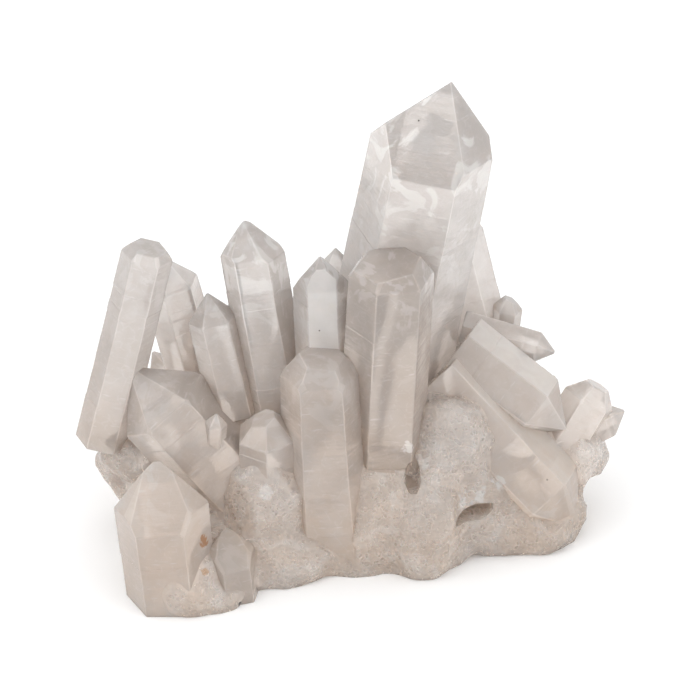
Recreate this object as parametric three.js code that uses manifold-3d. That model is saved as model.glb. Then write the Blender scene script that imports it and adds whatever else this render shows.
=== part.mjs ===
// A natural quartz crystal cluster: a fan of six-sided quartz points that grew together on a
// broken, milky root of the same mineral. It is one piece, resting on the flat of its root.
//
// Millimetres, +Z up. The origin is on the surface it stands on, under the middle of its box,
// and the showy side of the fan faces -Y.

import * as THREE from "three";
import { ConvexGeometry } from "three/addons/geometries/ConvexGeometry.js";
import { mergeVertices } from "three/addons/utils/BufferGeometryUtils.js";
import Module from "manifold-3d";

// ---- Driving dimensions ----------------------------------------------------------------------

const PYRAMID_TILT = 51.8; // degrees from a point's axis to the normal of a tip face, in all quartz
const TAPER = 0.93; // of a prism with none given
const SIDES = 6;

// The points. foot and tip are the two ends of the axis. radius is from the axis to a prism edge,
// at the foot, and taper the width at the tip as a share of that. turn, in degrees, is the way one
// prism face looks: 0 is to the front, 90 to the right. set is how far each tip face, from that one
// on, has grown short of the tip; below zero it has grown past it and hardly shows. chip is a
// break across the tip: how far below the tip it crosses the axis, which way it faces and how far
// it leans from square.
const POINTS = {
  // the tall one and its neighbours
  tall: {
    foot: [4.5, 12, 12], tip: [17, 0, 93], radius: 13.8, turn: -6,
    taper: 0.86, set: [-1.5, -4, -7, -9, -4, -10],
  },
  shoulder: {
    foot: [6, -6, 8], tip: [8, -12, 72], radius: 9, turn: 10,
    chip: { below: 7, faces: -70, leans: 10 },
  },
  window: { foot: [-4, -6, 20], tip: [-6, -6, 65.5], radius: 6.2, turn: 0, set: [-4, -2, 2, 4, 2, -2] },
  pillar: {
    foot: [-3.5, -12, -2], tip: [-6, -13, 51], radius: 9.6, turn: 0,
    taper: 0.82, chip: { below: 5, faces: 30, leans: 12 },
  },
  hidden_tip: { foot: [-3, 12, 8], tip: [-3, 12, 57], radius: 3, turn: 0 },
  // the left wing
  middle_left: {
    foot: [-12.5, -4, 20], tip: [-20.5, 0, 69], radius: 6.8, turn: 0,
    set: [0, 1, 0, 0, 0, -1],
  },
  little_left: { foot: [-23, -4, 28], tip: [-28, -2, 54], radius: 5.4, turn: 10 },
  back_left: { foot: [-29, 10, 18], tip: [-37.5, 8, 57], radius: 6.2, turn: 20 },
  left_tall: {
    foot: [-50, -5, 22], tip: [-38, -5, 69], radius: 5.5, turn: 0,
    chip: { below: 4, faces: 0, leans: 5 },
  },
  diagonal: { foot: [-13, -9, 2], tip: [-44, -7, 40], radius: 10.4, turn: 15 },
  // the front corner
  corner: {
    foot: [-35, -28, -2], tip: [-37.5, -25, 30], radius: 9, turn: 0,
    taper: 1.06, set: [3, 0, 0, 0, 0, 0],
  },
  corner_second: {
    foot: [-23, -27, -2], tip: [-24, -26, 15], radius: 5.6, turn: 20,
    set: [2, 0, 0, 0, 0, 0],
  },
  knob: {
    foot: [-16, -12, 16], tip: [-16.5, -15, 35.5], radius: 6.6, turn: 30,
    chip: { below: 2.5, faces: -60, leans: 20 },
  },
  pebble: { foot: [-27, -13, 24], tip: [-26, -15, 34], radius: 2.4, turn: 0 },
  // the right wing
  behind_right: { foot: [31, 20, 13], tip: [19, 25, 62], radius: 7.2, turn: 0 },
  behind_stub: {
    foot: [30, 20, 20], tip: [33, 20, 43], radius: 3.6, turn: 0,
    chip: { below: 1.5, faces: 90, leans: 20 },
  },
  upper_right: { foot: [23, 12, 39], tip: [42, 8, 35], radius: 3.8, turn: 0 },
  long_right: { foot: [22, 7, 37], tip: [44, -1, 22], radius: 7.5, turn: -15 },
  front_right: { foot: [17, 4, 32], tip: [46.5, -8, 3], radius: 9.2, turn: -15 },
  end_upper: {
    foot: [43, 4, 15], tip: [52, 7, 31], radius: 6, turn: 0,
    chip: { below: 3, faces: 0, leans: 0 },
  },
  end_tip: { foot: [40, 2, 16], tip: [57, 9, 21], radius: 4.6, turn: 0 },
  // the back, low in the shade of the tall ones
  back_main: { foot: [8, 20, 12], tip: [14, 30, 60], radius: 7.4, turn: 12 },
  back_middle: { foot: [-16, 14, 10], tip: [-22, 24, 44], radius: 5.6, turn: 40 },
  back_low: { foot: [-4, 18, 8], tip: [-8, 36, 30], radius: 6, turn: 5 },
  back_right: { foot: [22, 16, 10], tip: [34, 32, 34], radius: 6.4, turn: 25 },
  back_far: { foot: [-28, 14, 8], tip: [-42, 26, 26], radius: 6, turn: 0 },
  back_small: { foot: [12, 22, 8], tip: [16, 40, 20], radius: 4.6, turn: 20 },
  back_wing: { foot: [-24, 12, 12], tip: [-34, 20, 42], radius: 4.6, turn: 10 },
  back_lean: { foot: [26, 18, 8], tip: [44, 26, 20], radius: 5, turn: 0 },
  back_foot: { foot: [-12, 20, 4], tip: [-20, 37, 14], radius: 5, turn: 15 },
};
const EVEN = [0, 0, 0, 0, 0, 0]; // the tip faces of a point with none grown past another

// The root: broken blocks of massive quartz that the points stand on, each a centre and three
// radii.
const BLOCKS = {
  front: { at: [14, -8, 6], radii: [13, 15, 17] },
  apron: { at: [3, -9, 8], radii: [12, 11.5, 18] },
  pocket: { at: [19, -4, 18], radii: [13, 11, 17] },
  lap: { at: [-16.5, -11, 12], radii: [13.5, 11, 15] },
  nest: { at: [-23.4, 1.2, 16.6], radii: [16, 10, 17] },
  core: { at: [-8, 2, 24], radii: [11, 8, 29] },
  corner: { at: [-31, -25, 1], radii: [11.5, 12, 10] },
  seam: { at: [-15, -17, 3], radii: [11, 10, 9] },
  seam_end: { at: [0, -11, 1], radii: [15, 11, 7] },
  middle: { at: [0, -2, 3], radii: [30, 18, 17] },
  left: { at: [-29, -2, 6], radii: [18, 18, 14] },
  wing: { at: [-43, -2, 16], radii: [8.5, 9, 10] },
  right: { at: [30, -2, 4], radii: [17.5, 15, 13] },
  end: { at: [47, 4, 14], radii: [7, 7, 7] },
  back: { at: [2, 16, 3], radii: [31, 18, 15] },
};
// Gaps left between points where they meet the root, each a centre and three radii.
const GAPS = {
  under_shoulder: { at: [12.5, -17, 20], radii: [1.7, 7, 3.4] },
  under_front_right: { at: [25, -15, 11], radii: [5, 7, 1.5] },
};
const BLOCK_CORNERS = 34;
const ROUGHNESS = 0.14; // how far a block's corners swing in and out, of its radius
const SWING_STEP = 7.3; // radians between one corner's swing and the next
const GOLDEN_ANGLE = Math.PI * (3 - Math.sqrt(5)); // spreads the corners evenly
const QUARTZ_COLOUR = 0xc6bab1;
const QUARTZ_ROUGHNESS = 0.25;
const SAME_CORNER = 1e-4; // corners closer than this are one
const FLOOR_REACH = 200; // half the width of the cut that makes the flat underside

// ---- Tools -----------------------------------------------------------------------------------

const wasm = await Module();
wasm.setup();

/** A closed three.js geometry as a solid that can be joined and cut. */
function solidOf(geometry) {
  const bare = geometry.clone();
  bare.deleteAttribute("normal");
  bare.deleteAttribute("uv");
  const merged = mergeVertices(bare, SAME_CORNER);
  return new wasm.Manifold(
    new wasm.Mesh({
      numProp: 3,
      vertProperties: merged.getAttribute("position").array,
      triVerts: new Uint32Array(merged.index.array),
    }),
  );
}

/** A solid as a three.js geometry. */
function geometryOf(solid) {
  const mesh = solid.getMesh();
  const geometry = new THREE.BufferGeometry();
  geometry.setAttribute("position", new THREE.BufferAttribute(mesh.vertProperties, 3));
  geometry.setIndex(new THREE.BufferAttribute(mesh.triVerts, 1));
  geometry.computeVertexNormals();
  return geometry;
}

/** The part of a solid below a plane, given by a point on it and its outward normal. */
function cutBelow(solid, point, normal, reach) {
  const waste = new THREE.BoxGeometry(2 * reach, 2 * reach, reach);
  waste.translate(0, 0, reach / 2);
  waste.applyQuaternion(new THREE.Quaternion().setFromUnitVectors(new THREE.Vector3(0, 0, 1), normal));
  waste.translate(point.x, point.y, point.z);
  return solid.subtract(solidOf(waste));
}

// ---- The pieces ------------------------------------------------------------------------------

/** One quartz point: a six-sided prism, cut to its tip by six faces at quartz's own slope. */
function quartzPoint({ foot, tip, radius, turn, taper = TAPER, set = EVEN, chip = null }) {
  const start = new THREE.Vector3(...foot);
  const axis = new THREE.Vector3(...tip).sub(start);
  const length = axis.length();
  axis.normalize();
  const front = new THREE.Vector3(0, -1, 0).projectOnPlane(axis).normalize();
  const right = new THREE.Vector3().crossVectors(axis, front);

  const past = radius; // the prism runs on past the tip, which its faces then cut
  const end = 1 - (1 - taper) * (1 + past / length);
  const prism = new THREE.CylinderGeometry(radius * end, radius, length + past, SIDES);
  prism.rotateX(Math.PI / 2); // along +Z
  prism.rotateZ(THREE.MathUtils.degToRad(turn));
  prism.translate(0, 0, (length + past) / 2);
  prism.applyMatrix4(new THREE.Matrix4().makeBasis(front, right, axis).setPosition(start));
  let solid = solidOf(prism);

  const around = (degrees) => {
    const angle = THREE.MathUtils.degToRad(degrees);
    return front.clone().multiplyScalar(Math.cos(angle)).addScaledVector(right, Math.sin(angle));
  };
  const leaning = (degrees, tilt) => {
    const angle = THREE.MathUtils.degToRad(tilt);
    return around(degrees).multiplyScalar(Math.sin(angle)).addScaledVector(axis, Math.cos(angle));
  };
  const onAxis = (short) => start.clone().addScaledVector(axis, length - short);
  const reach = 2 * length + 4 * radius; // past every side of the prism
  set.forEach((short, side) => {
    const normal = leaning(turn + (side * 360) / SIDES, PYRAMID_TILT);
    solid = cutBelow(solid, onAxis(short), normal, reach);
  });
  if (chip) {
    solid = cutBelow(solid, onAxis(chip.below), leaning(chip.faces, chip.leans), reach);
  }
  return solid;
}

/** One broken block of massive quartz: the hull of corners spread over a ball, pushed in and out. */
function brokenBlock({ at, radii }) {
  const centre = new THREE.Vector3(...at);
  const size = new THREE.Vector3(...radii);
  const corners = Array.from({ length: BLOCK_CORNERS }, (_, i) => {
    const height = 1 - (2 * i + 1) / BLOCK_CORNERS;
    const across = Math.sqrt(1 - height * height);
    const angle = i * GOLDEN_ANGLE;
    const swing = 1 + ROUGHNESS * Math.sin(i * SWING_STEP + at[0] + 2 * at[1]);
    const corner = new THREE.Vector3(across * Math.cos(angle), across * Math.sin(angle), height);
    return corner.multiplyScalar(swing).multiply(size).add(centre);
  });
  return solidOf(new ConvexGeometry(corners));
}

const down = new THREE.Vector3(0, 0, -1);
const blocks = Object.values(BLOCKS).map(brokenBlock);
const points = Object.values(POINTS).map(quartzPoint);
const gaps = Object.values(GAPS).map(brokenBlock);
const grown = [...blocks, ...points].reduce((sum, next) => sum.add(next));
const hollowed = gaps.reduce((sum, next) => sum.subtract(next), grown);
const standing = cutBelow(hollowed, new THREE.Vector3(0, 0, 0), down, FLOOR_REACH);
const box = standing.boundingBox();
const cluster = standing.translate(-(box.min[0] + box.max[0]) / 2, -(box.min[1] + box.max[1]) / 2, 0);

const quartz = new THREE.MeshStandardMaterial({
  color: QUARTZ_COLOUR,
  roughness: QUARTZ_ROUGHNESS,
  metalness: 0,
});
const mesh = new THREE.Mesh(geometryOf(cluster), quartz);
mesh.name = "quartz_cluster";

const group = new THREE.Group();
group.add(mesh);

export default group;
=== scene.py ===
"""A natural quartz crystal cluster: milky six-sided points fanning out of a broken quartz root."""

import logging
import math
import random
from collections.abc import Callable
from dataclasses import dataclass, field
from enum import Enum

import bpy
from mathutils import Euler, Matrix, Vector
from mathutils.bvhtree import BVHTree


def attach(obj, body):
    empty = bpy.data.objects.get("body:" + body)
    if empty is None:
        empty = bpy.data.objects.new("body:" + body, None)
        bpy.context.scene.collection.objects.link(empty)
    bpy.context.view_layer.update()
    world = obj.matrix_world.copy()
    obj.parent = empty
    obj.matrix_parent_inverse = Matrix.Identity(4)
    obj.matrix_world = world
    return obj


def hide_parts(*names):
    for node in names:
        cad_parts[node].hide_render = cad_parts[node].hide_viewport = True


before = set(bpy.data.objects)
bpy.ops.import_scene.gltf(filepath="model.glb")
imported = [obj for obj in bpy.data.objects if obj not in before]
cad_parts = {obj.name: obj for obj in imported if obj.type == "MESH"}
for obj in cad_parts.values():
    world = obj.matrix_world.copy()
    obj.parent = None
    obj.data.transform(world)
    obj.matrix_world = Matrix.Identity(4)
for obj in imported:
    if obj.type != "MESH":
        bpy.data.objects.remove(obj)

log = logging.getLogger("quartz_cluster")

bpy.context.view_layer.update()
MM = 0.001

# ---- Sizes of the cluster, in millimetres ----

PYRAMID_TILT = 51.8  # degrees from a point's axis to the normal of a tip face, in all quartz
TAPER = 0.93  # width at the tip as a share of the foot
SIDES = 6
BLOCK_CORNERS = 34
ROUGHNESS = 0.14  # how far a block's corners swing in and out, of its radius
SWING_STEP = 7.3
GOLDEN_ANGLE = math.pi * (3 - math.sqrt(5))
CENTRING = Vector((-0.83549, -1.75861, 0.0))  # moves the grown cluster to the middle of its box
EDGE_WEAR = 0.16  # width of the worn edges of a point
CLOSE = 0.25  # corners closer than this become one before the edges are worn
NICK_DEPTHS = (0.08, 0.40)  # how much of a corner a knock has taken off
NICK_FULL = 8  # radius of a point whose nicks are that deep
NICK_MOST = 1.3  # and how much deeper they get on a thicker one
NICK_SWING = 14  # in degrees, how far a nick looks to either side of an edge
NICK_LIFTS = (12, 44)  # in degrees, how far it looks up
STEP_RISE = 0.22  # height of one growth step on a prism
STEP_SPACING = 4.5  # mean distance from one growth step to the next
STEP_SWING = (0.4, 1.8)  # how much nearer or farther than that it may be
STEP_DEPTH = 0.09  # how far a growth step stands in
STEPS_FROM = 0.2  # how far up a point they begin
STEPS_TO = 1.4  # how many radii below its tip they end

SKIN_GAP = 0.0004  # in metres, how near a face lies to the point it grew from
ROOT_TONE = 0.91  # how light the root is
POINT_TONE = 0.90  # how light a point is
TOP_SHADE = 0.05  # painted shade: how much darker a point is made high up, where it is clearer
WORN_EDGE_AND_HIGHLIGHT = 0.10  # how much lighter a worn edge is made: partly wear, partly a painted highlight
CLEAR_HEIGHT = 52  # above this height the quartz has lost its warm colour
SAME_CORNER = 0.0001  # corners closer than this are one, and so near the underside lie in it
CREASE = 15  # in degrees, the sharpest bend that is shaded smooth

TIP_FACE = 0.35  # a face that looks up more than this is a tip face
FLAT_TOP = 0.9  # and one that looks up more than this is a break
SIDE_SPREAD = 12  # in degrees, how far a prism side or tip face may look to either side
LEVEL = 1e-4  # a flat direction shorter than this is none
WARM_SHADE = 2.5  # how much warmer a darker point is
VEIL_START = 0.45  # how far up a point the frost begins
TENTHS = 10  # the growth lines are read in tenths of a metre
ROOT_VEIL = 0.3  # how much frost hangs in the root

VEIL_CORNERS = 14
VEIL_SWING = (0.5, 1.1)  # how far the rim of a sealed veil swings in and out
VEIL_SEED = 3
VEIL_CUTS = 3
VEIL_CRUMPLE = 0.5
VEIL_WAVE = 0.5  # how wavy a sealed veil is
VEIL_THICKNESS = 0.12

UP = Vector((0, 0, 1))
CLEAR_ABOVE = {"use_fill": True, "clear_outer": True}

Triple = tuple[float, float, float]
Piece = bpy.types.Object
Tree = bpy.types.NodeTree


class Join(Enum):
    """How closed parts are put together."""

    GROW = "UNION"
    HOLLOW = "DIFFERENCE"


@dataclass(frozen=True)
class Chip:
    """A break across the tip of a point.

    Args:
        below: How far below the tip it crosses the axis.
        faces: The way it looks round the axis, in degrees.
        leans: How far it leans from square to the axis, in degrees.
    """

    below: float
    faces: float
    leans: float


def deselect() -> None:
    """Leaves nothing selected and no mode but object mode."""
    if bpy.context.object and bpy.context.object.mode != "OBJECT":
        bpy.ops.object.mode_set(mode="OBJECT")
    bpy.ops.object.select_all(action="DESELECT")


def pick(*objects: Piece) -> None:
    """Selects some objects and nothing else.

    Args:
        objects: The objects; the last is made active.
    """
    deselect()
    for one in objects:
        one.select_set(True)
    bpy.context.view_layer.objects.active = objects[-1]


def enter_edit() -> None:
    """Goes into edit mode with the whole mesh selected."""
    bpy.ops.object.mode_set(mode="EDIT")
    bpy.ops.mesh.select_all(action="SELECT")


def slice_mesh(at: Vector, normal: Vector, **looks: object) -> None:
    """Cuts the whole mesh across a plane in edit mode.

    Args:
        at: A place on the plane.
        normal: The plane's normal.
        looks: Which side is cleared, and how near counts as on the plane.
    """
    bpy.ops.mesh.select_all(action="SELECT")
    bpy.ops.mesh.bisect(plane_co=at, plane_no=normal, **looks)


def select_above(piece: Piece, height: float) -> None:
    """Selects the corners above a height in edit mode.

    Args:
        piece: The piece that is being edited.
        height: The height, in metres.
    """
    bpy.ops.mesh.select_all(action="DESELECT")
    bpy.ops.object.mode_set(mode="OBJECT")
    for corner in piece.data.vertices:
        corner.select = corner.co.z > height
    bpy.ops.object.mode_set(mode="EDIT")


def face_outward() -> None:
    """Turns every face of the mesh outward and leaves edit mode."""
    bpy.ops.mesh.select_all(action="SELECT")
    bpy.ops.mesh.normals_make_consistent(inside=False)
    bpy.ops.object.mode_set(mode="OBJECT")


def strip_layers(mesh: bpy.types.Mesh) -> None:
    """Takes every colour attribute and UV map off a mesh.

    Args:
        mesh: The mesh.
    """
    for layers in (mesh.color_attributes, mesh.uv_layers):
        while layers:
            layers.remove(layers[0])


def apply_all(piece: Piece) -> None:
    """Applies every modifier of a piece, in order.

    Args:
        piece: The piece to finish.
    """
    pick(piece)
    for modifier in list(piece.modifiers):
        bpy.ops.object.modifier_apply(modifier=modifier.name)


def join_parts(base: Piece, others: list[Piece], how: Join) -> None:
    """Joins other closed parts to a base, or cuts them from it, and uses them up.

    Args:
        base: The part that stays.
        others: The parts that are used up.
        how: Whether they grow on or hollow out.
    """
    heap = bpy.data.collections.new("heap")
    bpy.context.scene.collection.children.link(heap)
    for one in others:
        for holder in list(one.users_collection):
            holder.objects.unlink(one)
        heap.objects.link(one)
    boolean = base.modifiers.new("join", "BOOLEAN")
    boolean.operation = how.value
    boolean.operand_type = "COLLECTION"
    boolean.collection = heap
    boolean.solver = "EXACT"
    apply_all(base)
    for one in others:
        bpy.data.objects.remove(one)
    bpy.data.collections.remove(heap)


def warmth_at(height: float) -> float:
    """How warm the quartz is at a height.

    Args:
        height: The height, in metres.

    Returns:
        The warmth, from 0 to 1.
    """
    return max(1.0 - height / (CLEAR_HEIGHT * MM), 0.0)


@dataclass(frozen=True)
class QuartzPoint:
    """One six-sided point.

    Args:
        name: What it is called.
        foot: The low end of its axis.
        tip: The high end of its axis.
        radius: From the axis to a prism edge at the foot.
        turn: The way one prism face looks, in degrees; 0 is the front and 90 the right.
        taper: Width at the tip as a share of the foot.
        short: How far each tip face has grown short of the tip, from that face on.
        chip: A break across the tip, if it has one.
        tone: How much lighter or darker than the rest the point is made: partly its own milk,
            partly painted light and shade.
        veil: How much frost hangs towards its tip, from 0 to 1.
        cap: Painted light and shade on its tip faces: how much lighter or darker they are made.
        sides: Painted light and shade on each prism side: how much lighter or darker it is made,
            from the turn side on.
    """

    name: str
    foot: Triple
    tip: Triple
    radius: float
    turn: float = 0.0
    taper: float = TAPER
    short: tuple[float, ...] = (0.0,) * SIDES
    chip: Chip | None = None
    # partly the point's own milk, partly painted light and shade
    tone: float = 0.0
    veil: float = 0.35
    cap: float = 0.0
    sides: tuple[float, ...] = (0.0,) * SIDES

    def length(self) -> float:
        """The length of the axis."""
        return (Vector(self.tip) - Vector(self.foot)).length

    def basis(self) -> Matrix:
        """Works out how the point stands.

        Returns:
            Its front, right and axis as columns, at its foot, in metres.
        """
        axis = (Vector(self.tip) - Vector(self.foot)).normalized()
        front = Vector((0, -1, 0))
        front = (front - axis * front.dot(axis)).normalized()
        right = axis.cross(front)
        stand = Matrix((front, right, axis)).transposed().to_4x4()
        return Matrix.Translation((Vector(self.foot) + CENTRING) * MM) @ stand

    def leaning(self, degrees: float, tilt: float) -> Vector:
        """A direction that leans from the axis.

        Args:
            degrees: The way it leans, round the axis.
            tilt: How far it leans.

        Returns:
            The direction, on the upright point.
        """
        way, lean = math.radians(degrees), math.radians(tilt)
        flat = math.sin(lean)
        return Vector((math.cos(way) * flat, math.sin(way) * flat, math.cos(lean)))

    def slice_above(self, short: float, normal: Vector) -> None:
        """Cuts off all above a plane across the axis of the point in edit mode.

        Args:
            short: How far below the tip the plane crosses the axis.
            normal: The plane's normal.
        """
        slice_mesh(Vector((0, 0, (self.length() - short) * MM)), normal, **CLEAR_ABOVE)

    def look_at(self, at: Vector, normal: Vector) -> tuple[tuple[float, ...], tuple[float, float]]:
        """The growth colour, with its painted light and shade, and the place along the axis of one
        corner of a face.

        Args:
            at: The corner, in the cluster.
            normal: The face's normal.

        Returns:
            The tone with painted light and shade, the depth, veil and root masks, and the place,
            in tenths of a metre.
        """
        basis = self.basis()
        local = basis.inverted() @ at
        normal = basis.to_3x3().transposed() @ normal
        way = math.degrees(math.atan2(normal.y, normal.x)) - self.turn
        side = round(way / 60)
        off = abs(way - side * 60)
        around = Vector((-normal.y, normal.x, 0))
        around = around.normalized() if around.length > LEVEL else Vector((1, 0, 0))
        up = min(max(local.z / (self.length() * MM), 0.0), 1.0)
        # painted shade: a point is made darker towards its top
        tone = POINT_TONE + self.tone - TOP_SHADE * min(at.z / (CLEAR_HEIGHT * MM), 1.0)
        # painted light and shade on the tip faces and on each prism side
        if normal.z > TIP_FACE:
            tone += self.cap
        elif off < SIDE_SPREAD:
            tone += self.sides[side % SIDES]
        # worn edges are made lighter: wear and a painted highlight
        if off > SIDE_SPREAD and normal.z < FLAT_TOP:
            tone += WORN_EDGE_AND_HIGHLIGHT
        darker = max(-self.tone, 0.0) * WARM_SHADE
        depth = min(warmth_at(at.z) + darker, 1.0)
        veil = max(up - VEIL_START, 0.0) / (1 - VEIL_START) * self.veil
        return (tone, depth, veil, 0.0), (local.dot(around) * TENTHS, local.z * TENTHS)

    def knock_corners(self, point: Piece, chance: random.Random) -> None:
        """Takes small nicks off the corners of the point in edit mode.

        Args:
            point: The upright point.
            chance: The draws that place and size the nicks.
        """
        for edge in range(SIDES):
            way = self.turn + 30 + 60 * edge + chance.uniform(-NICK_SWING, NICK_SWING)
            normal = self.leaning(way, 90 - chance.uniform(*NICK_LIFTS))
            depth = chance.uniform(*NICK_DEPTHS) * min(self.radius / NICK_FULL, NICK_MOST)
            bpy.ops.object.mode_set(mode="OBJECT")
            reach = max(corner.co.dot(normal) for corner in point.data.vertices)
            bpy.ops.object.mode_set(mode="EDIT")
            slice_mesh(normal * (reach - depth * MM), normal, **CLEAR_ABOVE)

    def step_sides(self, point: Piece, chance: random.Random) -> None:
        """Cuts fine growth steps across the sides of the point in edit mode.

        Args:
            point: The upright point.
            chance: The draws that place the steps.
        """
        height = self.length() * STEPS_FROM
        while height < self.length() - self.radius * STEPS_TO:
            for level in (height, height + STEP_RISE):
                slice_mesh(Vector((0, 0, level * MM)), UP)
            select_above(point, (height + STEP_RISE * 0.5) * MM)
            shift = [chance.uniform(-STEP_DEPTH, STEP_DEPTH) * MM for _ in range(2)]
            bpy.ops.transform.translate(value=(shift[0], shift[1], 0))
            height += STEP_SPACING * chance.uniform(*STEP_SWING)

    def grow(self) -> Piece:
        """Builds the point.

        Returns:
            The point as a closed mesh, in its place.
        """
        past = self.radius
        total = self.length() + past
        end = 1 - (1 - self.taper) * (1 + past / self.length())
        deselect()
        bpy.ops.mesh.primitive_cylinder_add(
            vertices=SIDES,
            radius=self.radius * MM,
            depth=total * MM,
            location=(0, 0, total * MM / 2),
            rotation=(0, 0, math.radians(self.turn)),
        )
        point = bpy.context.object
        point.name = self.name
        bpy.ops.object.transform_apply(location=True, rotation=True, scale=True)
        enter_edit()
        select_above(point, total * MM / 2)
        bpy.ops.transform.resize(value=(end, end, 1))
        for side, short in enumerate(self.short):
            way = self.turn + side * 360 / SIDES
            self.slice_above(short, self.leaning(way, PYRAMID_TILT))
        if self.chip:
            self.slice_above(self.chip.below, self.leaning(self.chip.faces, self.chip.leans))
        chance = random.Random(self.name)
        self.knock_corners(point, chance)
        bpy.ops.mesh.select_all(action="SELECT")
        bpy.ops.mesh.remove_doubles(threshold=CLOSE * MM)
        bpy.ops.mesh.select_all(action="SELECT")
        bpy.ops.mesh.bevel(offset=EDGE_WEAR * MM, segments=1, affect="EDGES", clamp_overlap=True)
        self.step_sides(point, chance)
        face_outward()
        point.data.transform(self.basis())
        return point


@dataclass(frozen=True)
class RootBlock:
    """One broken block of massive quartz in the root.

    Args:
        name: What it is called.
        at: Its centre.
        radii: How far it reaches along X, Y and Z.
    """

    name: str
    at: Triple
    radii: Triple

    def corner(self, count: int) -> Vector:
        """A corner of the block.

        Args:
            count: Its number.

        Returns:
            Where it is, in metres.
        """
        height = 1 - (2 * count + 1) / BLOCK_CORNERS
        across = math.sqrt(1 - height * height)
        angle = count * GOLDEN_ANGLE
        swing = 1 + ROUGHNESS * math.sin(count * SWING_STEP + self.at[0] + 2 * self.at[1])
        ball = Vector((across * math.cos(angle), across * math.sin(angle), height)) * swing
        spread = Vector(one * reach for one, reach in zip(ball, self.radii))
        return (spread + Vector(self.at) + CENTRING) * MM

    def grow(self) -> Piece:
        """Builds the block.

        Returns:
            The block as a closed mesh, in its place.
        """
        deselect()
        bpy.ops.mesh.primitive_circle_add(vertices=BLOCK_CORNERS, radius=MM)
        block = bpy.context.object
        block.name = self.name
        for corner in block.data.vertices:
            corner.co = self.corner(corner.index)
        enter_edit()
        bpy.ops.mesh.convex_hull()
        face_outward()
        return block


@dataclass(frozen=True)
class BrokenRoot:
    """The root: broken blocks of massive quartz, healed together and rough all over.

    Args:
        blocks: The blocks it is made of.
        heal: How wide a crease between blocks has grown shut.
        grain: The size of its finest facets.
        breaks: The kind, size and depth of the swells and breaks of its surface.
    """

    blocks: tuple[RootBlock, ...]
    heal: float = 3.0
    grain: float = 0.85
    breaks: tuple[tuple[str, float, float], ...] = (
        ("CLOUDS", 10.0, 2.2),
        ("VORONOI", 6.5, 1.8),
        ("VORONOI", 3.4, 0.8),
    )

    def add_remesh(self, root: Piece, size: float) -> None:
        """Adds an even remesh.

        Args:
            root: The root.
            size: The size of its faces.
        """
        remesh = root.modifiers.new("even", "REMESH")
        remesh.mode = "VOXEL"
        remesh.voxel_size = size * MM * 1

    def add_swell(self, root: Piece, depth: float, kind: str = "", size: float = 1) -> None:
        """Adds a displacement that swells or sinks the surface.

        Args:
            root: The root.
            depth: How far it reaches.
            kind: The kind of pattern it follows, or nothing for an even one.
            size: The size of one swell of the pattern.
        """
        swell = root.modifiers.new("swell", "DISPLACE")
        swell.strength = depth * MM
        swell.mid_level = 0.0
        if kind:
            swell.texture = bpy.data.textures.new(f"root_{kind.lower()}", kind)
            swell.texture.noise_scale = size * MM
            swell.texture_coords = "GLOBAL"
            swell.mid_level = 0.5

    def build(self) -> Piece:
        """Builds the root.

        Returns:
            The root as one closed mesh.
        """
        parts = [block.grow() for block in self.blocks]
        root = parts.pop(0)
        join_parts(root, parts, Join.GROW)
        self.add_remesh(root, 1.2)
        self.add_swell(root, self.heal)
        self.add_remesh(root, self.grain)
        self.add_swell(root, -self.heal)
        for kind, size, depth in self.breaks:
            self.add_swell(root, depth, kind, size)
        self.add_remesh(root, self.grain)
        polish = root.modifiers.new("polish", "SMOOTH")
        polish.iterations = 1
        apply_all(root)
        root.name = "root"
        return root


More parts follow.
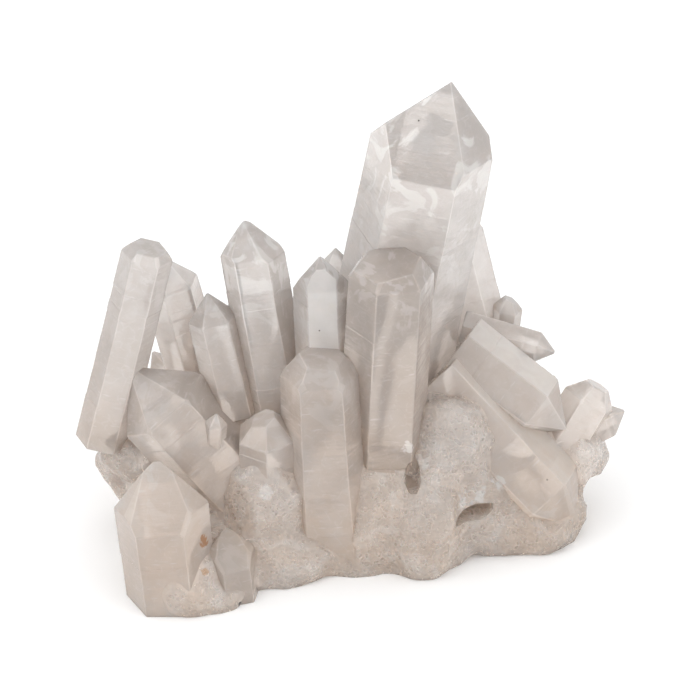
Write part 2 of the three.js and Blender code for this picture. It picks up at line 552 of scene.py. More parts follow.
POINTS = (
    # the tall one and its neighbours
    QuartzPoint(
        "tall", (4.5, 12, 12), (17, 0, 93), 13.8, -6, 0.86, (-1.5, -4, -7, -9, -4, -10),
        veil=1.0, cap=-0.02, sides=(0.02, -0.02, 0, 0, 0, 0.02),
    ),
    QuartzPoint(
        "shoulder", (6, -6, 8), (8, -12, 72), 9, 10, chip=Chip(7, -70, 10),
        tone=-0.14, veil=0.5, cap=0.02, sides=(0, 0.06, 0, 0, 0, 0.03),
    ),
    QuartzPoint(
        "window", (-4, -6, 20), (-6, -6, 65.5), 6.2, short=(-4, -2, 2, 4, 2, -2),
        veil=0.8, cap=-0.10, sides=(0.46, 0.04, 0, 0, 0, 0.06),
    ),
    QuartzPoint(
        "pillar", (-3.5, -12, -2), (-6, -13, 51), 9.6, 0, 0.82, chip=Chip(5, 30, 12),
        tone=-0.06, veil=0.3,
    ),
    QuartzPoint("hidden_tip", (-3, 12, 8), (-3, 12, 57), 3, tone=0.1),
    # the left wing
    QuartzPoint(
        "middle_left", (-12.5, -4, 20), (-20.5, 0, 69), 6.8, short=(0, 1, 0, 0, 0, -1),
        tone=-0.01, veil=0.9, sides=(0, -0.06, 0, 0, 0, 0.02),
    ),
    QuartzPoint("little_left", (-23, -4, 28), (-28, -2, 54), 5.4, 10, tone=0.02, veil=0.5),
    QuartzPoint("back_left", (-29, 10, 18), (-37.5, 8, 57), 6.2, 20, tone=0.18),
    QuartzPoint(
        "left_tall", (-50, -5, 22), (-38, -5, 69), 5.5, chip=Chip(4, 0, 5),
        tone=-0.05, sides=(0, -0.02, 0, 0, 0, 0),
    ),
    QuartzPoint(
        "diagonal", (-13, -9, 2), (-44, -7, 40), 10.4, 15,
        tone=0.02, veil=0.3, cap=-0.08, sides=(0.04, -0.06, 0, 0, 0, 0),
    ),
    # the front corner
    QuartzPoint(
        "corner", (-35, -28, -2), (-37.5, -25, 30), 9, 0, 1.06, (3, 0, 0, 0, 0, 0),
        cap=0.04,
    ),
    QuartzPoint(
        "corner_second", (-23, -27, -2), (-24, -26, 15), 5.6, 20, short=(2, 0, 0, 0, 0, 0),
        tone=-0.16,
    ),
    QuartzPoint("knob", (-16, -12, 16), (-16.5, -15, 35.5), 6.6, 30, chip=Chip(2.5, -60, 20)),
    QuartzPoint("pebble", (-27, -13, 24), (-26, -15, 34), 2.4),
    # the right wing
    QuartzPoint("behind_right", (31, 20, 13), (19, 25, 62), 7.2, tone=0.04),
    QuartzPoint("behind_stub", (30, 20, 20), (33, 20, 43), 3.6, chip=Chip(1.5, 90, 20)),
    QuartzPoint("upper_right", (23, 12, 39), (42, 8, 35), 3.8, tone=0.04),
    QuartzPoint(
        "long_right", (22, 7, 37), (44, -1, 22), 7.5, -15,
        cap=0.08, sides=(0, 0, 0, 0, 0, 0.3),
    ),
    QuartzPoint(
        "front_right", (17, 4, 32), (46.5, -8, 3), 9.2, -15,
        tone=0.05, sides=(0, 0, 0, 0, 0, 0.2),
    ),
    QuartzPoint("end_upper", (43, 4, 15), (52, 7, 31), 6, chip=Chip(3, 0, 0), tone=0.06),
    QuartzPoint("end_tip", (40, 2, 16), (57, 9, 21), 4.6, tone=0.08),
    # the back, low in the shade of the tall ones
    QuartzPoint("back_main", (8, 20, 12), (14, 30, 60), 7.4, 12, veil=0.7),
    QuartzPoint("back_middle", (-16, 14, 10), (-22, 24, 44), 5.6, 40, tone=0.04, veil=0.5),
    QuartzPoint("back_low", (-4, 18, 8), (-8, 36, 30), 6, 5, tone=-0.05),
    QuartzPoint("back_right", (22, 16, 10), (34, 32, 34), 6.4, 25, tone=0.05, veil=0.5),
    QuartzPoint("back_far", (-28, 14, 8), (-42, 26, 26), 6, tone=-0.04),
    QuartzPoint("back_small", (12, 22, 8), (16, 40, 20), 4.6, 20),
    QuartzPoint("back_wing", (-24, 12, 12), (-34, 20, 42), 4.6, 10, tone=0.06),
    QuartzPoint("back_lean", (26, 18, 8), (44, 26, 20), 5, tone=-0.04),
    QuartzPoint("back_foot", (-12, 20, 4), (-20, 37, 14), 5, 15),
)
BLOCKS = (
    RootBlock("front_block", (14, -8, 6), (13, 15, 17)),
    RootBlock("apron", (3, -9, 8), (12, 11.5, 18)),
    RootBlock("pocket", (19, -4, 18), (13, 11, 17)),
    RootBlock("lap", (-16.5, -11, 12), (13.5, 11, 15)),
    RootBlock("nest", (-23.4, 1.2, 16.6), (16, 10, 17)),
    RootBlock("core", (-8, 2, 24), (11, 8, 29)),
    RootBlock("corner_block", (-31, -25, 1), (11.5, 12, 10)),
    RootBlock("seam", (-15, -17, 3), (11, 10, 9)),
    RootBlock("seam_end", (0, -11, 1), (15, 11, 7)),
    RootBlock("middle_block", (0, -2, 3), (30, 18, 17)),
    RootBlock("left_block", (-29, -2, 6), (18, 18, 14)),
    RootBlock("wing_block", (-43, -2, 16), (8.5, 9, 10)),
    RootBlock("right_block", (30, -2, 4), (17.5, 15, 13)),
    RootBlock("end_block", (47, 4, 14), (7, 7, 7)),
    RootBlock("back_block", (2, 16, 3), (31, 18, 15)),
)
GAPS = (
    RootBlock("under_shoulder", (12.5, -17, 20), (1.7, 7, 3.4)),
    RootBlock("under_front_right", (25, -15, 11), (5, 7, 1.5)),
)


# ---- Finishes ----

Feed = bpy.types.NodeSocket | float | tuple


class Bench:
    """A bench on which the nodes of one tree are wired."""

    def __init__(self, tree: Tree) -> None:
        """Takes a tree to work on.

        Args:
            tree: The tree.
        """
        self.tree = tree

    def add(
        self, kind: str, feeds: dict[str, Feed] | None = None, **looks: object
    ) -> bpy.types.Node:
        """Adds a node.

        Args:
            kind: The kind of node, without the ShaderNode of its name.
            feeds: What goes into its sockets: a value, or the socket it comes from.
            looks: Its own settings.

        Returns:
            The node.
        """
        node = self.tree.nodes.new(f"ShaderNode{kind}")
        for name, value in looks.items():
            setattr(node, name, value)
        for name, value in (feeds or {}).items():
            self.feed(node.inputs[name], value)
        return node

    def feed(self, socket: bpy.types.NodeSocket, value: Feed) -> None:
        """Gives a socket a value or a link.

        Args:
            socket: The socket.
            value: The value, or the socket it comes from.
        """
        if isinstance(value, bpy.types.NodeSocket):
            self.tree.links.new(value, socket)
        else:
            socket.default_value = value

    def noise(self, place: Feed, scale: Feed, detail: float = 4.0, bend: float = 0.0) -> Feed:
        """Adds a cloudy pattern.

        Args:
            place: Where it is read.
            scale: How many clouds a metre holds.
            detail: How fine it goes.
            bend: How far it is bent.

        Returns:
            The socket of its value.
        """
        feeds = {"Vector": place, "Scale": scale, "Detail": detail, "Distortion": bend}
        return self.add("TexNoise", feeds).outputs["Fac"]

    def spread(self, value: Feed, low: Feed, high: Feed, to: tuple[float, float] = (0, 1)) -> Feed:
        """Spreads a span of values to another span.

        Args:
            value: The value.
            low: The low end of the span.
            high: The high end of the span.
            to: The two ends it is spread to.

        Returns:
            The socket of the result.
        """
        feeds = {
            "Value": value, "From Min": low, "From Max": high, "To Min": to[0], "To Max": to[1],
        }
        return self.add("MapRange", feeds, interpolation_type="SMOOTHSTEP").outputs["Result"]

    def sum_up(self, how: str, first: Feed, second: Feed, clamp: bool = True) -> Feed:
        """Works out two values.

        Args:
            how: The operation.
            first: The first value.
            second: The second value.
            clamp: Whether the result is kept from 0 to 1.

        Returns:
            The socket of the result.
        """
        node = self.add("Math", operation=how, use_clamp=clamp)
        self.feed(node.inputs[0], first)
        self.feed(node.inputs[1], second)
        return node.outputs["Value"]

    def share(self, value: Feed, part: Feed, clamp: bool = True) -> Feed:
        """Takes a part or a multiple of a value.

        Args:
            value: The value.
            part: How much of it is taken.
            clamp: Whether the result is kept from 0 to 1.

        Returns:
            The socket of the result.
        """
        return self.sum_up("MULTIPLY", value, part, clamp)

    def tint(self, share: Feed, under: Feed, over: Feed, how: str = "MIX") -> Feed:
        """Lays one colour over another.

        Args:
            share: How much of it is laid.
            under: The colour below.
            over: The colour laid over it.
            how: The way they blend.

        Returns:
            The socket of the blend.
        """
        node = self.add("Mix", data_type="RGBA", blend_type=how)
        self.feed(node.inputs["Factor"], share)
        self.feed(node.inputs[6], under)
        self.feed(node.inputs[7], over)
        return node.outputs[2]


def new_group(name: str, takes: dict[str, str], gives: dict[str, str]) -> tuple[Bench, dict, dict]:
    """Starts a shader node group.

    Args:
        name: What it is called.
        takes: The names and kinds of its inputs.
        gives: The names and kinds of its outputs.

    Returns:
        The bench, the sockets that bring its inputs and those that take its outputs.
    """
    tree = bpy.data.node_groups.new(name, "ShaderNodeTree")
    for socket, kind in takes.items():
        tree.interface.new_socket(socket, in_out="INPUT", socket_type=f"NodeSocket{kind}")
    for socket, kind in gives.items():
        tree.interface.new_socket(socket, in_out="OUTPUT", socket_type=f"NodeSocket{kind}")
    brings = tree.nodes.new("NodeGroupInput").outputs
    ends = tree.nodes.new("NodeGroupOutput").inputs
    return Bench(tree), {n: brings[n] for n in takes}, {n: ends[n] for n in gives}


def milk_clouds() -> Tree:
    """Builds the milk inside the quartz: slow clouds with finer wisps in them.

    Returns:
        The group.
    """
    bench, takes, gives = new_group(
        "milk_clouds", {"Place": "Vector", "Size": "Float"}, {"Thick": "Float"}
    )
    slow = bench.noise(takes["Place"], takes["Size"], 3, 0.6)
    fine = bench.noise(takes["Place"], bench.share(takes["Size"], 3.7, clamp=False), 5, 1.4)
    both = bench.sum_up("ADD", bench.share(slow, 0.65), bench.share(fine, 0.35))
    bench.feed(gives["Thick"], bench.spread(both, 0.36, 0.64))
    return bench.tree


def frost_veils() -> Tree:
    """Builds bright healed cracks: ragged patches, and a web of fine lines.

    Returns:
        The group.
    """
    bench, takes, gives = new_group(
        "frost_veils", {"Place": "Vector", "Size": "Float"}, {"Veil": "Float", "Web": "Float"}
    )
    patch = bench.noise(takes["Place"], takes["Size"], 6, 1.8)
    bench.feed(gives["Veil"], bench.spread(patch, 0.53, 0.60))
    cells = bench.add(
        "TexVoronoi",
        {"Vector": takes["Place"], "Scale": bench.share(takes["Size"], 4, clamp=False)},
        feature="DISTANCE_TO_EDGE",
    ).outputs["Distance"]
    ragged = bench.noise(takes["Place"], bench.share(takes["Size"], 8, clamp=False), 3, 1.0)
    web = bench.share(bench.spread(cells, 0.10, 0.0), bench.spread(ragged, 0.45, 0.6))
    bench.feed(gives["Web"], web)
    return bench.tree


def dark_specks() -> Tree:
    """Builds tiny dark grains, far apart.

    Returns:
        The group.
    """
    bench, takes, gives = new_group(
        "dark_specks", {"Place": "Vector", "Size": "Float"}, {"Speck": "Float"}
    )
    grain = bench.add("TexVoronoi", {"Vector": takes["Place"], "Scale": takes["Size"]})
    chosen = bench.add("SeparateColor", {"Color": grain.outputs["Color"]}).outputs["Red"]
    near = bench.spread(grain.outputs["Distance"], 0.04, 0.025)
    bench.feed(gives["Speck"], bench.share(near, bench.spread(chosen, 0.80, 0.82)))
    return bench.tree


def ragged_spot() -> Tree:
    """Builds a ragged spot round one place.

    Returns:
        The group.
    """
    bench, takes, gives = new_group(
        "ragged_spot",
        {"Place": "Vector", "Centre": "Vector", "Reach": "Float", "Ragged": "Float"},
        {"Spot": "Float"},
    )
    gap = bench.add("VectorMath", operation="DISTANCE")
    bench.feed(gap.inputs[0], takes["Place"])
    bench.feed(gap.inputs[1], takes["Centre"])
    wobble = bench.noise(takes["Place"], 620, 3, 0.5)
    wobble = bench.share(bench.sum_up("SUBTRACT", wobble, 0.35), takes["Ragged"])
    share = bench.sum_up("DIVIDE", gap.outputs["Value"], takes["Reach"], clamp=False)
    far = bench.sum_up("ADD", share, wobble, clamp=False)
    bench.feed(gives["Spot"], bench.spread(far, 1.0, 0.75))
    return bench.tree


def place_group(
    bench: Bench, make: Callable[[], Tree], feeds: dict[str, Feed]
) -> bpy.types.bpy_prop_collection:
    """Places a group in a material, and makes it the first time.

    Args:
        bench: The bench of the material.
        make: What makes the group.
        feeds: What goes into it.

    Returns:
        Its output sockets.
    """
    tree = bpy.data.node_groups.get(make.__name__) or make()
    tree.name = make.__name__
    node = bench.add("Group", node_tree=tree)
    for name, value in feeds.items():
        bench.feed(node.inputs[name], value)
    return node.outputs


def new_material(name: str) -> tuple[bpy.types.Material, Bench, bpy.types.Node]:
    """Starts a material.

    Args:
        name: What it is called.

    Returns:
        The material, its bench and its shader.
    """
    material = bpy.data.materials.new(name)
    material.use_nodes = True
    tree = material.node_tree
    return material, Bench(tree), tree.nodes["Principled BSDF"]


@dataclass(frozen=True)
class Spot:
    """A stain, crust or fleck at one place on the cluster; the white flecks are partly painted
    light.

    Args:
        at: Where it is, in millimetres.
        reach: How far it reaches.
        colour: Its colour.
        ragged: How ragged its edge is.
    """

    at: Triple
    reach: float
    colour: Triple
    ragged: float = 1.2


# white fracture faces in the hollows, partly painted light where the white beyond shows through
WHITE_FLAKE_AND_LIGHT = (0.96, 0.925, 0.90)
SPOTS = (
    Spot((-29.3, -31.0, 13.4), 2.2, (0.56, 0.30, 0.16), 2.0),
    Spot((-29.1, -33.5, 7.9), 1.2, (0.60, 0.40, 0.26), 2.2),
    Spot((-22.8, -33.4, 0.6), 0.8, (0.03, 0.02, 0.02), 0.6),
    Spot((11.0, -16.4, 25.8), 2.4, WHITE_FLAKE_AND_LIGHT, 2.2),
    Spot((14.0, -15.8, 22.3), 2.0, WHITE_FLAKE_AND_LIGHT, 2.2),
    Spot((25.2, -14.9, 14.1), 2.6, WHITE_FLAKE_AND_LIGHT, 2.2),
    Spot((28.7, -12.3, 15.6), 2.2, WHITE_FLAKE_AND_LIGHT, 2.2),
    Spot((22.1, -17.2, 13.6), 2.8, WHITE_FLAKE_AND_LIGHT, 2.2),
    Spot((-17.6, -22.0, 19.1), 2.2, WHITE_FLAKE_AND_LIGHT, 1.4),
    Spot((-48.0, -8.4, 14.2), 2.4, (0.62, 0.52, 0.46), 2.4),
)


@dataclass(frozen=True)
class MilkyQuartz:
    """How the quartz of the cluster looks.

    Args:
        name: What the finish is called.
        pale: Its colour where it is palest.
        milk: Its colour where the milk is thick.
        warm: Its colour deep down in the root.
        frost: The colour of cracks and worn edges, and of the painted glints on the growth lines.
        crust: The colour of the broken rim underneath: partly crust, partly painted shade where
            the root curves under.
        speck: The colour of the dark grains.
        passes: How much light goes through, from 0 to 1.
        glow: How much light scatters inside, from 0 to 1.
        scatter: How far red, green and blue light scatter, against each other.
        scatter_reach: How far light scatters, in metres.
        bends: Its index of refraction.
        soaks: The colour of light that has gone deep through it.
        soaks_fast: How fast it takes that colour.
        polish: Roughness of a clean growth face.
        broken: Roughness where it is broken.
        milk_size: Clouds of milk in a metre.
        patch_size: Warm patches in a metre.
        frost_size: Patches of frost in a metre.
        speck_size: Cells for dark grains in a metre.
        line_size: Growth lines in a tenth of a metre.
        grit_size: Grains in a metre.
        lump_size: Lumps in a metre.
        root_relief: How much rougher the relief of the root is.
        reliefs: Strength and depth of the growth lines, the lumps and the grit.
        web_shares: How white the web of cracks is, on a point and on the root.
        veil_share: How white the frost is.
        dash_share: How white the growth lines are: partly the lines, partly painted glints along
            them.
        rim_share: How strong the crust and its painted shade are.
    """

    name: str = "milky_quartz"
    pale: Triple = (0.90, 0.865, 0.845)
    milk: Triple = (0.80, 0.755, 0.725)
    warm: Triple = (0.80, 0.675, 0.575)
    frost: Triple = (0.98, 0.97, 0.96)
    crust: Triple = (0.52, 0.45, 0.40)
    speck: Triple = (0.06, 0.05, 0.04)
    passes: float = 0.58
    glow: float = 0.5
    scatter: Triple = (1.0, 0.93, 0.88)
    scatter_reach: float = 0.006
    bends: float = 1.544
    soaks: Triple = (0.88, 0.76, 0.64)
    soaks_fast: float = 14.0
    polish: float = 0.10
    broken: float = 0.38
    milk_size: float = 62.0
    patch_size: float = 48.0
    frost_size: float = 105.0
    speck_size: float = 150.0
    line_size: float = 120.0
    grit_size: float = 900.0
    lump_size: float = 260.0
    root_relief: float = 0.55
    reliefs: tuple[tuple[float, float], ...] = ((0.35, 0.3), (0.8, 0.9), (0.6, 0.3))
    web_shares: tuple[float, float] = (0.12, 0.20)
    veil_share: float = 0.9
    dash_share: float = 0.30
    rim_share: float = 0.45

    def colour(self, bench: Bench, place: Feed, growth: dict[str, Feed], lines: Feed) -> Feed:
        """Wires the colour.

        Args:
            bench: The bench of the material.
            place: Where the patterns are read.
            growth: The tone with painted light and shade, and the depth, veil and root masks.
            lines: The growth lines.

        Returns:
            The socket of the colour.
        """
        thick = place_group(bench, milk_clouds, {"Place": place, "Size": self.milk_size})["Thick"]
        shade = bench.tint(thick, (*self.pale, 1), (*self.milk, 1))
        patchy = bench.spread(bench.noise(place, self.patch_size, 4, 1.0), 0.32, 0.62, (0.45, 1))
        deep = bench.share(growth["depth"], patchy)
        shade = bench.tint(deep, shade, (*self.warm, 1))
        # painted light and shade: each face is made lighter or darker by its tone
        shade = bench.tint(1.0, shade, growth["tone"], "MULTIPLY")
        frost = place_group(bench, frost_veils, {"Place": place, "Size": self.frost_size})
        veil = bench.share(frost["Veil"], growth["veil"])
        veil = bench.share(veil, self.veil_share)
        cracks = bench.spread(growth["root"], 0, 1, self.web_shares)
        web = bench.share(frost["Web"], cracks)
        # white growth lines, partly painted glints along them
        dashes_and_glints = bench.share(bench.spread(lines, 0.62, 0.72), self.dash_share)
        white = bench.sum_up("MAXIMUM", bench.sum_up("MAXIMUM", veil, web), dashes_and_glints)
        shade = bench.tint(white, shade, (*self.frost, 1))
        height = bench.add("SeparateXYZ", {"Vector": place}).outputs["Z"]
        # painted shade with crust: the root is made darker towards its underside
        rim_and_shade = bench.share(bench.spread(height, 0.005, 0.0008), growth["root"])
        rim_and_shade = bench.share(rim_and_shade, bench.spread(bench.noise(place, 300, 4), 0.35, 0.65))
        shade = bench.tint(bench.share(rim_and_shade, self.rim_share), shade, (*self.crust, 1))
        for spot in SPOTS:
            spread = {
                "Place": place,
                "Centre": Vector(spot.at) * MM,
                "Reach": spot.reach * MM,
                "Ragged": spot.ragged,
            }
            mask = place_group(bench, ragged_spot, spread)["Spot"]
            shade = bench.tint(mask, shade, (*spot.colour, 1))
        speck = place_group(bench, dark_specks, {"Place": place, "Size": self.speck_size})["Speck"]
        return bench.tint(speck, shade, (*self.speck, 1))

    def surface(
        self, bench: Bench, place: Feed, growth: dict[str, Feed], lines: Feed
    ) -> tuple[Feed, Feed]:
        """Wires the roughness and the fine relief.

        Args:
            bench: The bench of the material.
            place: Where the patterns are read.
            growth: The tone with painted light and shade, and the depth, veil and root masks.
            lines: The growth lines.

        Returns:
            The sockets of the roughness and the normal.
        """
        root = bench.share(growth["root"], self.root_relief)
        grit = bench.noise(place, self.grit_size, 5)
        lumps = bench.noise(place, self.lump_size, 4, 0.8)
        dull = bench.share(bench.sum_up("ADD", root, 0.25), grit)
        rough = bench.spread(dull, 0.05, 0.75, (self.polish, self.broken))
        broken = bench.share(lumps, bench.sum_up("ADD", root, 0.12))
        fine = bench.share(grit, 0.2)
        normal = None
        for height, (strength, deep) in zip((lines, broken, fine), self.reliefs):
            feeds = {"Height": height, "Strength": strength, "Distance": deep * MM}
            if normal:
                feeds["Normal"] = normal
            normal = bench.add("Bump", feeds).outputs["Normal"]
        return rough, normal

    def dress(self) -> bpy.types.Material:
        """Builds the material.

        Returns:
            The material.
        """
        material, bench, shader = new_material(self.name)
        shader.inputs["IOR"].default_value = self.bends
        shader.inputs["Transmission Weight"].default_value = self.passes
        shader.inputs["Subsurface Weight"].default_value = self.glow
        shader.inputs["Subsurface Radius"].default_value = self.scatter
        shader.inputs["Subsurface Scale"].default_value = self.scatter_reach
        place = bench.add("TexCoord").outputs["Object"]
        grown = bench.add("Attribute", attribute_name="growth")
        parts = bench.add("SeparateColor", {"Color": grown.outputs["Color"]}).outputs
        growth = {
            "tone": parts["Red"],
            "depth": parts["Green"],
            "veil": parts["Blue"],
            "root": grown.outputs["Alpha"],
        }
        along = bench.add("UVMap", uv_map="along").outputs["UV"]
        flat = bench.add("Mapping", {"Vector": along, "Scale": (0.16, 1.0, 1.0)}).outputs["Vector"]
        lines = bench.noise(flat, self.line_size, 5, 0.2)
        bench.feed(shader.inputs["Base Color"], self.colour(bench, place, growth, lines))
        rough, normal = self.surface(bench, place, growth, lines)
        bench.feed(shader.inputs["Roughness"], rough)
        bench.feed(shader.inputs["Normal"], normal)
        soak = {"Color": (*self.soaks, 1), "Density": self.soaks_fast}
        deep = bench.add("VolumeAbsorption", soak)
        out = material.node_tree.nodes["Material Output"]
        bench.feed(out.inputs["Volume"], deep.outputs["Volume"])
        return material


@dataclass(frozen=True)
class HealedCrack:
    """How a healed crack inside a point looks: a white veil of tiny bubbles.

    Args:
        name: What the finish is called.
        bright: Its colour where the bubbles are dense.
        thin: Its colour where they are few.
        dull: Roughness of the veil.
        passes: How much light goes through, from 0 to 1.
        milk_size: Clouds of milk in a metre.
        frost_size: Patches of frost in a metre.
        grain_size: Bubbles in a metre.
    """

    name: str = "healed_crack"
    bright: Triple = (0.98, 0.98, 0.975)
    thin: Triple = (0.90, 0.88, 0.87)
    dull: float = 0.3
    passes: float = 0.1
    milk_size: float = 260.0
    frost_size: float = 240.0
    grain_size: float = 1800.0

    def dress(self) -> bpy.types.Material:
        """Builds the material.

        Returns:
            The material.
        """
        material, bench, shader = new_material(self.name)
        shader.inputs["Transmission Weight"].default_value = self.passes
        place = bench.add("TexCoord").outputs["Object"]
        thick = place_group(bench, milk_clouds, {"Place": place, "Size": self.milk_size})["Thick"]
        frost = place_group(bench, frost_veils, {"Place": place, "Size": self.frost_size})
        shade = bench.tint(thick, (*self.bright, 1), (*self.thin, 1))
        shade = bench.tint(frost["Web"], shade, (*self.bright, 1))
        bench.feed(shader.inputs["Base Color"], shade)
        grain = bench.noise(place, self.grain_size, 4)
        rough = bench.spread(grain, 0.3, 0.7, (self.dull * 0.6, self.dull * 1.4))
        bench.feed(shader.inputs["Roughness"], rough)
        bump = bench.add("Bump", {"Strength": 0.6, "Distance": 0.0002, "Height": grain})
        bench.feed(shader.inputs["Normal"], bump.outputs["Normal"])
        return material


# ---- The cluster ----


@dataclass(frozen=True)
class SealedVeil:
    """A thin healed crack sealed inside a point, just under a tip face.

    Args:
        name: What it is called.
        point: The name of the point it lies in.
        side: The tip face it lies under, from the turn side on.
        down: How far down that face its middle is.
        across: How far to the side of the face its middle is.
        under: How far under the face it lies.
        reach: How far it reaches.
        leans: How far it leans from the face, in degrees.
    """

    name: str
    point: str
    side: int
    down: float
    across: float
    under: float
    reach: float
    leans: float = 8.0

    def stand(self) -> Matrix:
        """Works out how it lies in the cluster.

        Returns:
            Its down, across and out as columns, at its middle, in metres.
        """
        maker = next(one for one in POINTS if one.name == self.point)
        way = math.radians(maker.turn + self.side * 360 / SIDES)
        tilt = math.radians(PYRAMID_TILT)
        flat = Vector((math.cos(way), math.sin(way), 0))
        down = flat * math.cos(tilt) - Vector((0, 0, math.sin(tilt)))
        across = Vector((-flat.y, flat.x, 0))
        out = down.cross(across)
        top = Vector((0, 0, maker.length() - maker.short[self.side]))
        middle = top + down * self.down + across * self.across - out * self.under
        turned = Matrix((down, across, out)).transposed().to_4x4()
        lean = Matrix.Rotation(math.radians(self.leans), 4, "X")
        return maker.basis() @ Matrix.Translation(middle * MM) @ turned @ lean

    def build(self, finish: bpy.types.Material) -> Piece:
        """Builds the veil.

        Args:
            finish: The finish it gets.

        Returns:
            The finished piece.
        """
        chance = random.Random(self.name)
        deselect()
        bpy.ops.mesh.primitive_circle_add(
            vertices=VEIL_CORNERS, radius=self.reach * MM, fill_type="TRIFAN"
        )
        veil = bpy.context.object
        veil.name = veil.data.name = self.name
        for corner in veil.data.vertices:
            corner.co *= chance.uniform(*VEIL_SWING)
        enter_edit()
        bpy.ops.mesh.subdivide(number_cuts=VEIL_CUTS, fractal=VEIL_CRUMPLE, seed=VEIL_SEED)
        bpy.ops.object.mode_set(mode="OBJECT")
        for corner in veil.data.vertices:
            corner.co.z *= VEIL_WAVE
        solid = veil.modifiers.new("thickness", "SOLIDIFY")
        solid.thickness = VEIL_THICKNESS * MM
        solid.offset = 0.0
        apply_all(veil)
        veil.data.transform(self.stand())
        strip_layers(veil.data)
        enter_edit()
        face_outward()
        bpy.ops.object.shade_smooth()
        veil.data.materials.append(finish)
        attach(veil, "root")
        return veil


VEILS = (
    SealedVeil("tall_veil_high", "tall", 0, 5.5, 0.5, 1.4, 3.4),
    SealedVeil("tall_veil_low", "tall", 0, 9.0, -1.5, 1.6, 3.0, -7),
    SealedVeil("tall_veil_side", "tall", 1, 11.5, 0.0, 1.6, 2.2),
    SealedVeil("middle_veil_high", "middle_left", 0, 4.2, 0.3, 1.6, 1.1),
    SealedVeil("middle_veil_low", "middle_left", 0, 6.0, -0.4, 0.9, 1.6, -6),
    SealedVeil("little_veil", "little_left", 0, 3.4, 0.1, 1.1, 1.1),
    SealedVeil("back_left_veil", "back_left", 0, 4.0, 0.0, 0.9, 1.8),
)


@dataclass
class Cluster:
    """The whole cluster: every point and the root, grown into one piece.

    Args:
        name: What the piece is called.
        points: Its points.
        blocks: The blocks of its root.
        gaps: The hollows left in it.
        skins: The surface of each grown part and what it was grown from.
    """

    name: str = "grown_cluster"
    points: tuple[QuartzPoint, ...] = POINTS
    blocks: tuple[RootBlock, ...] = BLOCKS
    gaps: tuple[RootBlock, ...] = GAPS
    skins: list[tuple[BVHTree, QuartzPoint]] = field(default_factory=list)

    def remember(self, grown: Piece, maker: QuartzPoint) -> None:
        """Keeps a point's surface, to tell later which faces of the cluster came from it.

        Args:
            grown: The grown point.
            maker: What it was grown from.
        """
        corners = [corner.co.copy() for corner in grown.data.vertices]
        faces = [tuple(face.vertices) for face in grown.data.polygons]
        self.skins.append((BVHTree.FromPolygons(corners, faces), maker))

    def cut_flat(self, piece: Piece) -> None:
        """Cuts the flat underside it rests on.

        Args:
            piece: The joined cluster.
        """
        pick(piece)
        enter_edit()
        underside = Vector((0, 0, 0))
        slice_mesh(underside, UP, use_fill=True, clear_inner=True, threshold=SAME_CORNER * MM)
        bpy.ops.mesh.select_all(action="SELECT")
        bpy.ops.mesh.remove_doubles(threshold=SAME_CORNER * MM)
        face_outward()

    def owner(self, face: bpy.types.MeshPolygon) -> QuartzPoint | None:
        """Finds the point a face of the cluster grew from.

        Args:
            face: The face.

        Returns:
            The point, or nothing where the face is the root's.
        """
        best, found = SKIN_GAP, None
        for skin, maker in self.skins:
            hit, _, _, gap = skin.find_nearest(face.center, SKIN_GAP)
            if hit is not None and gap < best:
                best, found = gap, maker
        return found

    def record_growth(self, piece: Piece) -> None:
        """Writes on each face which part it grew from: its tone, depth, veil and place.

        Args:
            piece: The joined cluster.
        """
        mesh = piece.data
        strip_layers(mesh)
        mesh.color_attributes.new("growth", "FLOAT_COLOR", "CORNER")
        mesh.uv_layers.new(name="along")
        growth, along = mesh.color_attributes["growth"].data, mesh.uv_layers["along"].data
        for face in mesh.polygons:
            maker = self.owner(face)
            for loop in face.loop_indices:
                at = mesh.vertices[mesh.loops[loop].vertex_index].co
                if maker:
                    # the tone written here holds painted light and shade
                    growth[loop].color, along[loop].uv = maker.look_at(at, face.normal)
                else:
                    growth[loop].color = (ROOT_TONE, warmth_at(at.z), ROOT_VEIL, 1.0)
                    along[loop].uv = (at.x * TENTHS, at.z * TENTHS)

    def build(self) -> Piece:
        """Grows the cluster.

        Returns:
            The finished piece.
        """
        piece = BrokenRoot(self.blocks).build()
        log.info("root: %d faces", len(piece.data.polygons))
        grown = []
        for maker in self.points:
            part = maker.grow()
            self.remember(part, maker)
            grown.append(part)
            log.info("%s: %d faces", maker.name, len(part.data.polygons))
        join_parts(piece, grown, Join.GROW)
        join_parts(piece, [gap.grow() for gap in self.gaps], Join.HOLLOW)
        self.cut_flat(piece)
        self.record_growth(piece)
        piece.name = piece.data.name = self.name
        piece.data.materials.clear()
        piece.data.materials.append(MilkyQuartz().dress())
        pick(piece)
        bpy.ops.object.shade_smooth_by_angle(angle=math.radians(CREASE))
        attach(piece, "root")
        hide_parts("quartz_cluster")
        return piece


# ---- The studio ----


@dataclass(frozen=True)
class Lamp:
    """One soft square lamp that looks at the cluster.

    Args:
        name: What it is called.
        at: Where it hangs, in metres.
        size: The side of its square, in metres.
        watts: Its power.
    """

    name: str
    at: Triple
    size: float
    watts: float

    def hang(self) -> None:
        """Hangs the lamp."""
        bpy.ops.object.light_add(type="AREA", location=self.at)
        lamp = bpy.context.object
        lamp.name = self.name
        lamp.data.size = self.size
        lamp.data.energy = self.watts
        aim = Vector((0, 0, 0.04)) - Vector(self.at)
        lamp.rotation_euler = aim.to_track_quat("-Z", "Y").to_euler()


FLOOR_SIZE = 12  # in metres
FLOOR_GAP = 0.00005  # in metres
LAMPS = (
    Lamp("overhead", (-0.15, -0.1, 0.9), 0.8, 1.6),
    Lamp("left_window", (-0.7, -0.35, 0.5), 0.5, 1.0),
    Lamp("right_window", (0.7, -0.45, 0.45), 0.6, 0.9),
)


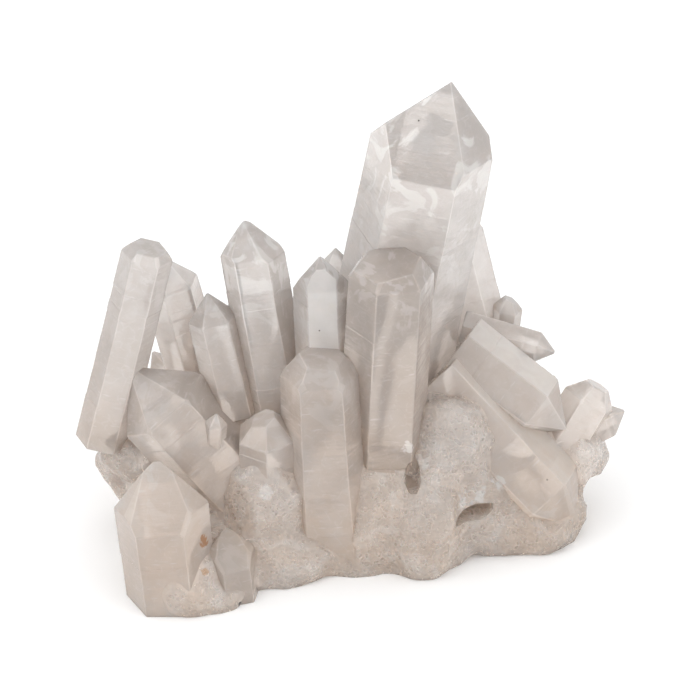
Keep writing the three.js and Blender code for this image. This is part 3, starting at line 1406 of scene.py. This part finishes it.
@dataclass(frozen=True)
class Studio:
    """A pale floor, soft lamps and the camera.

    Args:
        target: Where the camera looks, in millimetres.
        elevation: How steeply it looks down, in degrees.
        distance: How far it stands from there.
        lens: Its focal length.
        room: How bright the room is.
    """

    target: Triple = (-0.8355, -1.7586, 40.0)
    elevation: float = 28.0
    distance: float = 500.0
    lens: float = 128.571
    room: float = 1.12

    def lay_floor(self) -> None:
        """Lays the plain pale floor."""
        deselect()
        bpy.ops.mesh.primitive_plane_add(size=FLOOR_SIZE, location=(0, 0, -FLOOR_GAP))
        floor = bpy.context.object
        floor.name = "studio_floor"
        paint, _, shader = new_material("pale_floor")
        shader.inputs["Base Color"].default_value = (0.9, 0.9, 0.9, 1)
        shader.inputs["Roughness"].default_value = 0.9
        shader.inputs["Specular IOR Level"].default_value = 0.1
        floor.data.materials.append(paint)

    def light(self) -> None:
        """Lights the room."""
        world = bpy.data.worlds.new("pale_room")
        world.use_nodes = True
        world.node_tree.nodes["Background"].inputs["Color"].default_value = (1, 1, 1, 1)
        world.node_tree.nodes["Background"].inputs["Strength"].default_value = self.room
        bpy.context.scene.world = world
        for lamp in LAMPS:
            lamp.hang()
        bpy.context.scene.view_settings.view_transform = "Standard"

    def set_camera(self) -> None:
        """Sets the camera."""
        tilt = math.radians(self.elevation)
        back = Vector((0, -math.cos(tilt), math.sin(tilt))) * self.distance
        bpy.ops.object.camera_add(location=(Vector(self.target) + back) * MM)
        camera = bpy.context.object
        camera.rotation_euler = Euler((math.radians(90 - self.elevation), 0, 0))
        camera.data.lens = self.lens
        camera.data.sensor_width = 36
        camera.data.clip_start = 0.01
        camera.data.clip_end = 50
        bpy.context.scene.camera = camera


def main() -> None:
    """Builds the cluster and the studio."""
    logging.basicConfig(level=logging.INFO, format="%(name)s: %(message)s")
    piece = Cluster().build()
    log.info("%s: %d faces", piece.name, len(piece.data.polygons))
    finish = HealedCrack().dress()
    for sealed in VEILS:
        veil = sealed.build(finish)
        log.info("%s: %d faces", veil.name, len(veil.data.polygons))
    studio = Studio()
    studio.lay_floor()
    studio.light()
    studio.set_camera()


if __name__ == "__main__":
    main()
